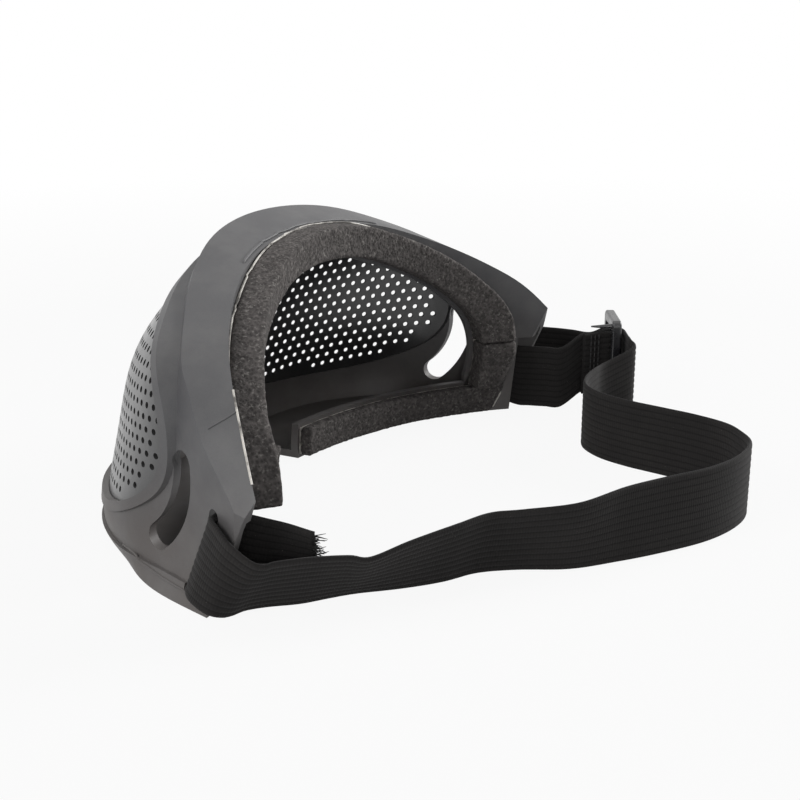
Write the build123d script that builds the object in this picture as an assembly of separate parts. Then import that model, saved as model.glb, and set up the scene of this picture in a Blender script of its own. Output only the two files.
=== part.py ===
from build123d import *
import math
import os

os.makedirs("parts", exist_ok=True)

# Mesh safety goggles standing on their lower edge, millimetres.
# +Y is forward, away from the face, +X is the wearer's right, +Z up, the surface
# they stand on is Z = 0, and X = 0 is the frame's plane of symmetry.

# Moulded frame
frame_width = 180.0
frame_height = 74.0
frame_reach = 66.0
wall = 2.8
floor_wall = 2.4
skirt_fall = 0.30
flange_height = 4.5
flange_proud = 1.0

# Rear edge, which follows the face: a cylinder that leans back
face_radius = 105.5
face_reach = 35.8
face_lean = 0.112
# The soft frame stands a little twisted, so its face side lies to the left
face_shift = -2.2
seat_thickness = 2.2
seat_ledge = 0.8

# Nose cut-out
nose_half_width = 8.5
nose_height = 27.0
nose_round = 6.0
nose_shoulder_share = 0.6
nose_draft = 0.25

# Temple end, with the strap slot through its skin and a channel inboard of it
temple_lean = 0.44
post_thickness = 2.2
channel_inner = 79.2
channel_share = 0.92
turn_room = 3.6
side_cut_start = 66.6
slot_length = 23.6
slot_width = 3.4
slot_forward = 3.5
slot_height = 13.4
slot_lean = 22.0

# Side vent, a leaning crescent
vent_length = 28.0
vent_width = 6.6
vent_bow = 1.3
vent_forward = 15.0
vent_height = 20.5
vent_lean = 24.0

# Lenses: bowed plates of perforated sheet held in a groove
window_turn = 40.0
bezel_width = 2.4
bezel_proud = 0.7
lens_thickness = 0.8
lens_depth = 1.1
lens_overlap = 1.3
lens_bow = 7.0
groove_clearance = 0.15
hole_pitch = 3.3
hole_radius = 0.76
hole_turn = 6.0
hole_margin = 1.5

# Foam gasket on its adhesive tape
foam_thickness = 7.8
cheek_foam_thickness = 3.2
foam_width = 9.0
tape_thickness = 0.4
tape_margin = 0.3
glue_gap = 0.1
foam_split = 25.6
foam_gap = 0.4
foam_foot = 1.0
temple_foam_edge = 78.6
# The left temple has no strip: the brow strip's end is free there
temple_foam_sides = ["right_"]

# Elastic band
band_width = 20.0
band_thickness = 1.2
band_seam = 0.2
sections_per_row = 3
steps_per_row = 24
outer_ply_lift = 2.8
inner_ply_lift = 1.4
lap_length = 12.0
lap_gap = 0.2
tack_width = 4.0
tack_thickness = 0.3

# Slide buckle
buckle_forward = -31.5
buckle_side = 101.0
buckle_turn = 26.2
buckle_height = 29.5
buckle_length = 18.0
buckle_thickness = 3.0
buckle_post = 3.0
buckle_end = 3.2
buckle_corner = 2.0
buckle_window_corner = 1.0
buckle_edge = 0.7
bar_radius = 1.1
bar_clearance = 0.25
prong_length = 6.5
prong_width = 2.0
prong_tip = 0.5
prong_drop = 1.2
prong_root = 1.0

half_width = frame_width / 2
buckle_lift = (buckle_height - band_width) / 2
overrun = 20.0
short_overrun = 5.0

# Outer face of the moulding, one row of plan points for each height: shares of the
# frame's height, then of its half width and its reach
level_shares = [0.0, 0.18, 0.40, 0.61, 0.81, 1.03]
face_shares = [
    [(0.0, 0.955), (0.333, 0.909), (0.556, 0.818), (0.689, 0.682), (0.789, 0.515),
     (0.856, 0.402), (0.900, 0.303), (0.944, 0.152), (1.0, -0.091)],
    [(0.0, 0.985), (0.333, 0.947), (0.556, 0.850), (0.689, 0.722), (0.778, 0.598),
     (0.833, 0.470), (0.856, 0.318), (0.900, 0.136), (1.0, -0.121)],
    [(0.0, 0.924), (0.333, 0.864), (0.556, 0.727), (0.689, 0.576), (0.778, 0.447),
     (0.828, 0.348), (0.861, 0.235), (0.911, 0.091), (1.0, -0.136)],
    [(0.0, 0.803), (0.333, 0.735), (0.556, 0.591), (0.689, 0.439), (0.778, 0.318),
     (0.828, 0.242), (0.867, 0.159), (0.917, 0.068), (1.0, -0.136)],
    [(0.0, 0.697), (0.333, 0.621), (0.556, 0.462), (0.689, 0.318), (0.778, 0.220),
     (0.828, 0.159), (0.867, 0.106), (0.917, 0.030), (1.0, -0.136)],
    [(0.0, 0.583), (0.333, 0.500), (0.556, 0.356), (0.689, 0.227), (0.778, 0.136),
     (0.828, 0.091), (0.867, 0.045), (0.917, -0.015), (1.0, -0.136)],
]
# How far the lens is bowed out at those points, as shares of lens_bow
bow_up_shares = [0.0, 0.0, 0.50, 0.95, 0.50, 0.0]
bow_across_shares = [0.0, 0.85, 1.0, 0.95, 0.75, 0.45, 0.20, 0.0, 0.0]
# Upper outline seen from the front, which falls towards the rear by skirt_fall
brow_shares = [(0.0, 1.0), (0.20, 0.994), (0.40, 0.968), (0.533, 0.931), (0.667, 0.884),
               (0.80, 0.819), (0.867, 0.772), (0.933, 0.688), (1.0, 0.568)]
brow_reach_share = 0.62
brow_reach = frame_reach * brow_reach_share
# Outer edge of the foam seen from the front
seat_shares = [(0.0, 0.950), (0.155, 0.940), (0.289, 0.919), (0.422, 0.872), (0.556, 0.811),
               (0.689, 0.724), (0.800, 0.610), (0.870, 0.490), (0.895, 0.365), (0.895, 0.250),
               (0.885, 0.160)]
# Lens opening seen along window_turn, as shares of half_width and frame_height
window_shares = [(-0.250, 0.180), (-0.050, 0.163), (0.140, 0.163), (0.300, 0.187),
                 (0.440, 0.258), (0.518, 0.370), (0.532, 0.500), (0.505, 0.610), (0.420, 0.715),
                 (0.270, 0.790), (0.070, 0.846), (-0.130, 0.870), (-0.235, 0.835),
                 (-0.290, 0.730), (-0.318, 0.570), (-0.320, 0.400), (-0.300, 0.260)]

# Band routes: rows of lower edge (x, y, z) and upper edge (x, y, z), as shares of
# half_width and, for z, of band_width
tail_shares = [
    ((-0.787, -0.197, 0.12), (-0.876, -0.242, 1.04)),
    ((-0.838, -0.131, 0.15), (-0.889, -0.177, 1.11)),
    ((-0.887, -0.064, 0.16), (-0.897, -0.122, 1.14)),
    ((-0.897, -0.006, 0.17), (-0.897, -0.072, 1.15)),
]
near_turn_shares = [
    ((-0.897, 0.030, 0.17), (-0.897, -0.055, 1.16)),
    ((-0.905, 0.070, 0.17), (-0.906, -0.017, 1.16)),
    ((-0.929, 0.086, 0.17), (-0.933, -0.004, 1.16)),
    ((-0.957, 0.080, 0.17), (-0.963, -0.010, 1.16)),
    ((-0.993, 0.042, 0.15), (-0.996, -0.051, 1.13)),
    ((-1.003, -0.012, 0.08), (-1.022, -0.102, 1.03)),
]
# Then the lower edge and the lean of the top, in quarter turns
near_run_shares = [(-0.962, -0.038, 0.36), (-0.911, -0.058, 0.42), (-0.867, -0.100, 0.41),
                   (-0.817, -0.163, 0.40), (-0.753, -0.215, 0.44), (-0.700, -0.262, 0.48),
                   (-0.633, -0.345, 0.38), (-0.545, -0.430, 0.29), (-0.455, -0.490, 0.26),
                   (-0.389, -0.578, 0.25)]
rear_turn_shares = [(-0.322, -0.705, 0.18), (-0.222, -0.806, 0.05), (-0.122, -0.890, 0.0),
                    (0.0, -0.976, 0.0), (0.105, -1.022, 0.0), (0.205, -1.041, 0.0),
                    (0.285, -1.031, 0.0), (0.348, -0.993, 0.0), (0.406, -0.934, 0.0),
                    (0.445, -0.835, 0.0), (0.468, -0.730, 0.0)]
far_run_shares = [(0.495, -0.600, 0.0), (0.535, -0.500, 0.0), (0.600, -0.430, 0.0),
                  (0.690, -0.400, 0.0), (0.790, -0.395, 0.0), (0.870, -0.403, 0.0)]
# Beside and through the buckle, in its own axes: along it and across it, as shares of
# its length
first_lift_share = 0.7
thread_shares = [(-0.90, 0.225), (-0.62, 0.205), (-0.36, 0.198), (-0.14, 0.198),
                 (0.045, 0.190), (0.150, 0.130), (0.200, 0.020), (0.215, -0.110)]
outer_ply_shares = [(1.130, -0.262), (1.134, -0.190), (1.130, -0.115), (1.106, -0.045)]
inner_ply_shares = [(0.942, -0.222), (0.920, -0.170), (0.905, -0.115), (0.898, -0.068)]
# The sewn end: where its straight plies have their points, in shares of the lap, and how
# it rounds the bar, in shares of the turn's radius
lap_run_shares = [1.0, 0.75, 0.5]
lap_turn_shares = [(-1.9, 0.72), (-0.9, 0.98), (0.0, 1.0), (0.72, 0.72)]


def face_rows(inset, bow):
    """Plan points of each level, moved in by inset and out by the lens's bow."""
    rows = []
    for share, row, up in zip(level_shares, face_shares, bow_up_shares):
        points = [(x * half_width, y * frame_reach) for x, y in row]
        moved = []
        for i, (x, y) in enumerate(points):
            before = points[i - 1] if i else (-points[1][0], points[1][1])
            after = points[min(i + 1, len(points) - 1)]
            dx, dy = after[0] - before[0], after[1] - before[1]
            move = (bow * up * bow_across_shares[i] - inset) / math.hypot(dx, dy)
            moved.append((x - dy * move, y + dx * move))
        rows.append((share * frame_height, moved))
    return rows


def face_solid(inset=0.0, bow=0.0):
    """Everything behind the outer face of the moulding."""
    wires = []
    for height, row in face_rows(inset, bow):
        right = [Vector(x, y, height) for x, y in row]
        left = [Vector(-x, y, height) for x, y in reversed(row[1:])]
        corners = [right[-1], Vector(right[-1].X, -half_width, height),
                   Vector(left[0].X, -half_width, height), left[0]]
        sides = [Edge.make_line(a, b) for a, b in zip(corners[:-1], corners[1:])]
        wires.append(Wire([Edge.make_spline(left + right)] + sides))
    return Solid.make_loft(wires, ruled=False)


def moved_in(points, inset):
    """Points of a right-hand outline that starts on the symmetry plane, moved in."""
    moved = []
    for i, (x, z) in enumerate(points):
        before = points[i - 1] if i else (-points[1][0], points[1][1])
        after = points[min(i + 1, len(points) - 1)]
        dx, dz = after[0] - before[0], after[1] - before[1]
        run = math.hypot(dx, dz)
        moved.append((x + dz / run * inset, z - dx / run * inset))
    return moved


def skirt_space(inset=0.0):
    """The space under the brow and its skirt, which falls towards the rear."""
    reach = frame_reach + overrun
    rise = (reach - brow_reach) * skirt_fall
    points = moved_in([(x * half_width, z * frame_height) for x, z in brow_shares], inset)
    right = [Vector(x, reach, z + rise) for x, z in points]
    left = [Vector(-x, reach, z + rise) for x, z in reversed(points[1:])]
    corners = [right[-1], Vector(right[-1].X, reach, -overrun),
               Vector(left[0].X, reach, -overrun), left[0]]
    sides = [Edge.make_line(a, b) for a, b in zip(corners[:-1], corners[1:])]
    back = reach + half_width
    face = Face(Wire([Edge.make_spline(left + right)] + sides))
    return Solid.extrude(face, Vector(0, -back, -back * skirt_fall))


def seat_space(inset, foot):
    """The space inside the foam's outer edge, its sides square to the face cylinder."""
    points = moved_in([(x * half_width, z * frame_height) for x, z in seat_shares], inset)
    wires = []
    for reach in (face_radius - half_width / 2, face_radius + overrun):
        def spot(x, z):
            return Vector(x * reach / math.sqrt(face_radius ** 2 - x ** 2),
                          face_reach - face_radius + reach, z)
        right = [spot(x, z) for x, z in points]
        left = [spot(-x, z) for x, z in reversed(points[1:])]
        corners = [right[-1], Vector(right[-1].X, right[-1].Y, foot),
                   Vector(left[0].X, left[0].Y, foot), left[0]]
        sides = [Edge.make_line(a, b) for a, b in zip(corners[:-1], corners[1:])]
        wires.append(Wire([Edge.make_spline(left + right)] + sides))
    return Solid.make_loft(wires, ruled=True)


def face_cylinder(radius):
    """The leaning cylinder of the wearer's face, with a given radius."""
    plane = Plane(origin=(face_shift, face_reach - face_radius, -overrun), x_dir=(1, 0, 0),
                  z_dir=(0, -face_lean, 1))
    return Solid.make_cylinder(radius, frame_height + overrun * 2, plane)


def block(x0, x1, y0, y1, z0, z1):
    """A box between two corners."""
    return Solid.make_box(x1 - x0, y1 - y0, z1 - z0, Plane(origin=(x0, y0, z0)))


def nose_space(grow=0.0):
    """The arch cut out for the nose, through from front to rear."""
    half = nose_half_width + grow
    top = nose_height + grow
    crown = nose_round + grow
    reach = frame_reach + overrun
    foot, peak = Vector(half, reach, 0), Vector(0, reach, top)
    shoulder = Vector(crown, reach, top - crown * nose_shoulder_share)
    side = Edge.make_spline([foot, shoulder, peak], tangents=[Vector(-nose_draft, 0, 1), Vector(-1, 0, 0)])
    low_right, low_left = Vector(half, reach, -overrun), Vector(-half, reach, -overrun)
    edges = [Edge.make_line(low_right, foot), side, side.mirror(Plane.YZ),
             Edge.make_line(Vector(-half, reach, 0), low_left), Edge.make_line(low_left, low_right)]
    return Solid.extrude(Face(Wire(edges)), Vector(0, -reach - half_width, 0))


def window_plane(side):
    """A plane square to the lens opening, in front of it, on one side of the frame."""
    turn = math.radians(window_turn)
    out = Vector(side * math.sin(turn), math.cos(turn), 0)
    across = Vector(side * math.cos(turn), -math.sin(turn), 0)
    return Plane(origin=out * (frame_reach + overrun * 2), x_dir=across, z_dir=out)


def window_prism(side, grow=0.0, holes=()):
    """The lens opening, less any holes, carried straight through the front of the frame."""
    plane = window_plane(side)
    points = [(w * half_width, z * frame_height) for w, z in window_shares]
    moved = []
    for i, (w, z) in enumerate(points):
        before, after = points[i - 1], points[(i + 1) % len(points)]
        dw, dz = after[0] - before[0], after[1] - before[1]
        run = math.hypot(dw, dz)
        moved.append((w + dz / run * grow, z - dw / run * grow))
    spots = [plane.origin + plane.x_dir * w + Vector(0, 0, z) for w, z in moved]
    face = Face(Wire([Edge.make_spline(spots, periodic=True)]), holes)
    return Solid.extrude(face, plane.z_dir * -(frame_reach + overrun * 2))


def hole_wires(side):
    """A staggered pattern of round holes that keeps clear of the lens's edge."""
    plane = window_plane(side)
    points = [(w * half_width, z * frame_height) for w, z in window_shares]
    row_pitch = hole_pitch * math.sqrt(3) / 2
    rows, columns = int(frame_height / row_pitch), int(half_width / hole_pitch)
    turn = math.radians(hole_turn)
    wires = []
    for row in range(-rows, rows):
        for column in range(-columns, columns):
            along = (column + (row % 2) / 2) * hole_pitch
            w = along * math.cos(turn) - row * row_pitch * math.sin(turn)
            z = along * math.sin(turn) + row * row_pitch * math.cos(turn) + frame_height / 2
            if clear_inside(points, w, z, hole_margin + hole_radius):
                spot = plane.origin + plane.x_dir * w + Vector(0, 0, z)
                wires.append(Wire.make_circle(hole_radius, Plane(origin=spot, z_dir=plane.z_dir)))
    return wires


def clear_inside(points, w, z, margin):
    """Whether a place lies inside a closed outline by at least a margin."""
    inside = False
    for i, (aw, az) in enumerate(points):
        bw, bz = points[i - 1]
        if (az > z) != (bz > z) and w < (bw - aw) * (z - az) / (bz - az) + aw:
            inside = not inside
        run = math.hypot(bw - aw, bz - az)
        along = ((w - aw) * (bw - aw) + (z - az) * (bz - az)) / run ** 2
        along = min(1, max(0, along))
        if math.hypot(aw + (bw - aw) * along - w, az + (bz - az) * along - z) < margin:
            return False
    return inside


def side_plane(side, forward, height, lean):
    """A plane facing outwards at one temple, its y axis leaning back at the top."""
    up = Vector(0, -math.sin(math.radians(lean)), math.cos(math.radians(lean)))
    out = Vector(side, 0, 0)
    return Plane(origin=(side * side_cut_start, forward, height), x_dir=up.cross(out), z_dir=out)


def vent_cut(side):
    """The crescent vent, cut straight out through the side wall."""
    plane = side_plane(side, vent_forward, vent_height, vent_lean)
    half, bow = (vent_length - vent_width) / 2, vent_bow * side
    ends = [(bow, -half), (bow, half)]
    middle = (-bow, 0)
    with BuildSketch(plane) as sketch:
        with BuildLine():
            arc = ThreePointArc(ends[0], middle, ends[1])
        SlotArc(arc, vent_width)
    return Solid.extrude(sketch.sketch.faces()[0], plane.z_dir * overrun * 2)


def slot_cut(side):
    """The strap slot through the temple's skin, leaning back at the top."""
    plane = side_plane(side, slot_forward, slot_height, slot_lean)
    with BuildSketch(plane) as sketch:
        SlotOverall(slot_length, slot_width, rotation=90)
    return Solid.extrude(sketch.sketch.faces()[0], plane.z_dir * overrun * 2)


def goggle_frame():
    """The moulded frame, hollow behind its face and open to the rear."""
    face = face_solid()
    skirt = skirt_space()
    flange = face_solid(-flange_proud) & block(-half_width, half_width, 0, frame_reach + overrun,
                                               0, flange_height)
    body = (face & skirt) + flange
    bowed = face_solid(-bezel_proud, lens_bow)
    for side in (-1, 1):
        ring = window_prism(side, bezel_width) - window_prism(side)
        body += (bowed - face_solid(wall / 2)) & ring
    cavity = face_solid(wall) & skirt_space(wall)
    cavity &= block(-half_width, half_width, -half_width, frame_reach, floor_wall, frame_height)
    cavity -= face_cylinder(face_radius + seat_thickness)
    body -= cavity
    rear = seat_space(foam_width + seat_ledge, foam_foot + foam_width + seat_ledge)
    body -= rear & face_cylinder(face_radius + seat_thickness + seat_ledge)
    body -= face_cylinder(face_radius)
    body -= nose_space()
    body -= rear_wedge() - block(-channel_inner, channel_inner, -half_width, overrun,
                                 -overrun, frame_height)
    shell = face_solid(-short_overrun) - face_solid(wall + lens_depth)
    grooves = groove_shell()
    post_inner = face_solid(post_thickness)
    for side in (-1, 1):
        body -= shell & window_prism(side)
        body -= grooves & window_prism(side, lens_overlap + groove_clearance)
        body -= vent_cut(side)
        body -= slot_cut(side)
        rise = slot_length * channel_share / 2
        low, high = slot_height - rise, slot_height + rise
        reach = slot_forward + slot_width + turn_room
        inner, outer = sorted((side * channel_inner, side * half_width))
        body -= post_inner & block(inner, outer, -half_width, reach, low, high)
    return body


def rear_wedge():
    """What is cut from behind the temples and low foams, whose rear edge leans back."""
    top = frame_height
    corners = [(0, 0), (-temple_lean * top, top), (-half_width, top), (-half_width, 0)]
    spots = [Vector(-half_width - overrun, y, z) for y, z in corners]
    face = Face(Wire.make_polygon(spots, close=True))
    return Solid.extrude(face, Vector(frame_width + overrun * 2, 0, 0))


def groove_shell():
    """The layer that the lenses and their clearance take up."""
    outer = face_solid(lens_depth - groove_clearance, lens_bow)
    return outer - face_solid(lens_depth + lens_thickness + groove_clearance, lens_bow)


def mesh_lens():
    """The right lens: a bowed plate with its pattern of holes."""
    plate = face_solid(lens_depth, lens_bow) - face_solid(lens_depth + lens_thickness, lens_bow)
    return plate & window_prism(1, lens_overlap, hole_wires(1))


def gasket_ring(inset, width):
    """The band that the foam lies on, seen from the front, open at the nose."""
    ring = seat_space(inset, foam_foot + inset)
    ring -= seat_space(inset + width, foam_foot + inset + width)
    return ring - nose_space(foam_gap + inset)


def gasket_parts(name, inset, outer, thickness, cheek_thickness):
    """One layer of the gasket, cut into its strips: brow, temples and cheeks."""
    ring = gasket_ring(inset, foam_width - inset * 2) & face_cylinder(outer)
    layer = ring - face_cylinder(outer - thickness)
    low = layer - rear_wedge()
    thin = (ring - face_cylinder(outer - cheek_thickness)) - rear_wedge()
    wide = half_width + overrun
    cheek_top = foam_foot + foam_width - inset
    parts = {"brow_" + name: layer & block(-wide, wide, -half_width, half_width,
                                           foam_split, frame_height)}
    for side, label in ((-1, "left_"), (1, "right_")):
        x0, x1 = sorted((0, side * (temple_foam_edge - inset)))
        if label in temple_foam_sides:
            parts[label + "temple_" + name] = low & block(x0, x1, -half_width, half_width,
                                                          cheek_top + foam_gap, foam_split - foam_gap)
        parts[label + "cheek_" + name] = thin & block(x0, x1, -half_width, half_width, 0, cheek_top)
    return parts


def between(points, spot):
    """A smooth curve through rows of numbers, read at a fractional row."""
    i = min(int(spot), len(points) - 2)
    t = spot - i
    p1, p2 = points[i], points[i + 1]
    p0 = points[i - 1] if i else [2 * a - b for a, b in zip(p1, p2)]
    p3 = points[i + 2] if i + 2 < len(points) else [2 * b - a for a, b in zip(p1, p2)]
    return [0.5 * (2 * b + (c - a) * t + (2 * a - 5 * b + 4 * c - d) * t ** 2
                   + (3 * b - a - 3 * c + d) * t ** 3) for a, b, c, d in zip(p0, p1, p2, p3)]


def run_rows(shares):
    """Rows of lower and upper edge for a stretch given by lower edge and lean."""
    rows = []
    for i, (x, y, lean) in enumerate(shares):
        before = shares[i - 1] if i else shares[0]
        after = shares[min(i + 1, len(shares) - 1)]
        dx, dy = after[0] - before[0], after[1] - before[1]
        run = math.hypot(dx, dy)
        tilt = lean * math.pi / 2
        foot = (x * half_width, y * half_width, 0)
        top = (foot[0] + dy / run * math.sin(tilt) * band_width,
               foot[1] - dx / run * math.sin(tilt) * band_width, math.cos(tilt) * band_width)
        rows.append(foot + top)
    return rows


def edge_rows(shares):
    """Rows of lower and upper edge for a stretch given by both edges."""
    return [(a[0] * half_width, a[1] * half_width, a[2] * band_width,
             b[0] * half_width, b[1] * half_width, b[2] * band_width) for a, b in shares]


def upright_rows(points, lift):
    """Rows of lower and upper edge for an upright stretch at one height."""
    return [(x, y, lift, x, y, lift + band_width) for x, y in points]


def route_places(rows, first, last):
    """Evenly spaced places along a route between two rows, less the seams."""
    places = [first + k / steps_per_row for k in range(steps_per_row * (last - first) + 1)]
    middles = [Vector(*[(a + b) / 2 for a, b in zip(row[:3], row[3:])])
               for row in (between(rows, place) for place in places)]
    lengths = [0.0]
    for a, b in zip(middles[:-1], middles[1:]):
        lengths.append(lengths[-1] + (b - a).length)
    count = sections_per_row * (last - first) + 1
    result, k = [], 0
    for n in range(count):
        want = band_seam / 2 + (lengths[-1] - band_seam) * n / (count - 1)
        while lengths[k + 1] < want:
            k += 1
        part = (want - lengths[k]) / (lengths[k + 1] - lengths[k])
        result.append(places[k] + (places[k + 1] - places[k]) * part)
    return result


def ribbon(rows, first, last):
    """The band between two rows of a route, as a loft through thin cross-sections."""
    wires = []
    nudge = 1 / steps_per_row
    for place in route_places(rows, first, last):
        row = between(rows, place)
        ahead = between(rows, min(place + nudge, len(rows) - 1))
        behind = between(rows, max(0, place - nudge))
        foot, top = Vector(row[0], row[1], max(0, row[2])), Vector(*row[3:])
        along = Vector(ahead[0] + ahead[3] - behind[0] - behind[3],
                       ahead[1] + ahead[4] - behind[1] - behind[4], 0).normalized()
        out = Vector(along.Y, -along.X, 0) * (band_thickness / 2)
        wires.append(Wire.make_polygon([foot - out, foot + out, top + out, top - out], close=True))
    return Solid.make_loft(wires, ruled=False)


def buckle_spot(along, across):
    """Plan place of a point in the buckle's axes."""
    turn = math.radians(buckle_turn)
    return (buckle_side + along * math.cos(turn) + across * math.sin(turn),
            buckle_forward + along * math.sin(turn) - across * math.cos(turn))


def lap_spots(side):
    """Half of the sewn end: from the lap to the far side of the centre bar."""
    radius = bar_radius + bar_clearance + band_thickness / 2
    half_lap = (band_thickness + lap_gap) / 2
    local = [(-lap_length * share, half_lap) for share in lap_run_shares]
    local += [(radius * a, radius * b) for a, b in lap_turn_shares]
    return [(a, b * side) for a, b in local]


def lap_axis():
    """Plan direction from the inner ply to the centre bar."""
    end = inner_ply_shares[0]
    gap = Vector(buckle_side - end[0] * half_width, buckle_forward - end[1] * half_width, 0)
    return gap.normalized()


def lap_points():
    """Plan route of the sewn end, from its cut end round the bar to the inner ply."""
    radius = bar_radius + bar_clearance + band_thickness / 2
    axis = lap_axis()
    aside = Vector(-axis.Y, axis.X, 0)
    centre = Vector(buckle_side, buckle_forward, 0)
    local = lap_spots(-1) + [(radius, 0)] + lap_spots(1)[::-1]
    spots = [centre + axis * a + aside * b for a, b in local]
    return [(spot.X, spot.Y) for spot in spots]


def mirror_x(shares):
    """The same rows on the other side of the frame."""
    return [((-a[0], a[1], a[2]), (-b[0], b[1], b[2])) for a, b in shares]


def plan_rows(shares, lift):
    """Rows of an upright stretch from plan points in shares of the half width."""
    return upright_rows([(x * half_width, y * half_width) for x, y in shares], lift)


def band_parts():
    """All stretches of the elastic band, cut from one route."""
    thread = [buckle_spot(a * buckle_length, b * buckle_length) for a, b in thread_shares]
    stretches = {
        "strap_tail": edge_rows(tail_shares),
        "strap_near_turn": edge_rows(near_turn_shares),
        "strap_near_run": [],
        "strap_rear_turn": [],
        "strap_far_run": [],
        "strap_buckle_thread": upright_rows(thread[:1], buckle_lift * first_lift_share)
        + upright_rows(thread[1:], buckle_lift),
        "strap_outer_ply": plan_rows(outer_ply_shares, outer_ply_lift),
        "strap_far_turn": edge_rows(mirror_x(near_turn_shares[::-1])[1:]),
        "strap_inner_ply": plan_rows(inner_ply_shares[::-1], inner_ply_lift),
        "strap_sewn_end": upright_rows(lap_points()[::-1], buckle_lift),
    }
    runs = run_rows(near_run_shares + rear_turn_shares + far_run_shares)
    turn_start, turn_end = len(near_run_shares), len(near_run_shares) + len(rear_turn_shares)
    stretches["strap_near_run"] = runs[:turn_start]
    stretches["strap_rear_turn"] = runs[turn_start:turn_end]
    stretches["strap_far_run"] = runs[turn_end:]
    route = [row for rows in stretches.values() for row in rows]
    parts, start = {}, 0
    for name, rows in stretches.items():
        end = min(start + len(rows), len(route) - 1)
        parts[name] = ribbon(route, start, end)
        start = end
    return parts


def sewn_tack():
    """The bar of stitching across the sewn end, proud of its outer face."""
    axis = lap_axis()
    aside = Vector(-axis.Y, axis.X, 0)
    centre = Vector(buckle_side, buckle_forward, buckle_lift)
    face = band_thickness + lap_gap / 2
    start = centre - axis * (lap_length / 2 + tack_width) - aside * (face + glue_gap)
    plane = Plane(origin=start, x_dir=axis, z_dir=(0, 0, 1))
    margin = band_thickness
    tack = Solid.make_box(tack_width, tack_thickness, band_width - margin * 2, plane)
    return tack.move(Location((0, 0, margin))).move(Location(aside * -tack_thickness))


def buckle_frame():
    """The buckle's outer frame, standing on edge, with its prong at the top."""
    plane = Plane(origin=(buckle_side, buckle_forward, buckle_height / 2),
                  x_dir=(math.cos(math.radians(buckle_turn)), math.sin(math.radians(buckle_turn)), 0),
                  z_dir=(math.sin(math.radians(buckle_turn)), -math.cos(math.radians(buckle_turn)), 0))
    with BuildPart(plane) as part:
        with BuildSketch(plane):
            RectangleRounded(buckle_length, buckle_height, buckle_corner)
            RectangleRounded(buckle_length - buckle_post * 2, buckle_height - buckle_end * 2,
                             buckle_window_corner, mode=Mode.SUBTRACT)
        extrude(amount=buckle_thickness / 2, both=True)
        fillet(part.edges().group_by(Axis(plane.origin, plane.z_dir))[-1], buckle_edge)
        fillet(part.edges().group_by(Axis(plane.origin, plane.z_dir))[0], buckle_edge)
    body = part.part.solids()[0]
    root = plane.origin + plane.z_dir * (-buckle_thickness / 2 + prong_root)
    root += plane.x_dir * -(buckle_length / 2 - buckle_post)
    root += Vector(0, 0, buckle_height / 2 - prong_drop - prong_width / 2)
    prong_plane = Plane(origin=root, z_dir=plane.z_dir * -1)
    prong = Solid.make_cone(prong_width / 2, prong_tip / 2, prong_length + prong_root, prong_plane)
    return body + prong


def buckle_bar():
    """The round centre bar that the sewn end turns about."""
    length = buckle_height - buckle_end * 2
    plane = Plane(origin=(buckle_side, buckle_forward, buckle_end))
    return Solid.make_cylinder(bar_radius, length, plane)


def main():
    """Writes every piece with the origin at the centre of the whole part's base."""
    parts = {"goggle_frame": goggle_frame()}
    parts["right_mesh_lens"] = mesh_lens().solids()[0]
    parts["left_mesh_lens"] = parts["right_mesh_lens"].mirror(Plane.YZ)
    tape_outer = face_radius - glue_gap
    foam_outer = tape_outer - tape_thickness - glue_gap
    parts.update(gasket_parts("tape", tape_margin, tape_outer, tape_thickness, tape_thickness))
    parts.update(gasket_parts("foam", 0, foam_outer, foam_thickness, cheek_foam_thickness))
    parts.update(band_parts())
    parts["strap_tack"] = sewn_tack()
    parts["buckle_frame"] = buckle_frame()
    parts["buckle_bar"] = buckle_bar()
    box = Compound(list(parts.values())).bounding_box()
    shift = Vector(-box.center().X, -box.center().Y, 0)
    print("shift", round(shift.X, 3), round(shift.Y, 3), "lowest", round(box.min.Z, 3))
    for name, part in parts.items():
        solids = part.solids()
        print(name, len(solids), round(sum(s.volume for s in solids), 2), all(s.is_valid for s in solids))
        export_step(part.moved(Location(shift)), f"parts/{name}.step")


if __name__ == "__main__":
    main()
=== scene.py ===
import math
import bpy
import bmesh
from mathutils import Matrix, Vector, noise
from mathutils.bvhtree import BVHTree


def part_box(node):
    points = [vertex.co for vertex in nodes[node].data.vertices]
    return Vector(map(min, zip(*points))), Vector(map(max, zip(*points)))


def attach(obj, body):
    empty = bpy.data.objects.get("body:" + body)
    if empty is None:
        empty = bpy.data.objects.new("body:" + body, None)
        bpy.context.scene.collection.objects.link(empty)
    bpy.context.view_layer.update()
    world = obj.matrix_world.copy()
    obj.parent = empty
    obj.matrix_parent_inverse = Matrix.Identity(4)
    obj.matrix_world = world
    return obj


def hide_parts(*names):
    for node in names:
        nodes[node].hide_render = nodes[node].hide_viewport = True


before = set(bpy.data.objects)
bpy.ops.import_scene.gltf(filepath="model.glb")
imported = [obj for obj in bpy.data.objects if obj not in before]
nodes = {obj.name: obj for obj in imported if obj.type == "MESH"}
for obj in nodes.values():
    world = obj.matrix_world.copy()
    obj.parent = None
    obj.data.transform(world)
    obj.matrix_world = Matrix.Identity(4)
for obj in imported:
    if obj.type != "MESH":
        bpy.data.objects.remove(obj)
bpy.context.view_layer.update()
mm = 0.001

# The CAD drawing's own origin lies on the frame's plane of symmetry, under the face
frameLow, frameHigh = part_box("goggle_frame")
halfWidth = (frameHigh.x - frameLow.x) / 2
halfSpan = halfWidth / mm
frontReach = 65.0 * mm
origin = Vector(((frameLow.x + frameHigh.x) / 2, frameHigh.y - frontReach, 0))
print("frame loaded, half width", round(halfSpan, 1))


# Node trees: each input is given a plain value or another node's output

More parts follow.
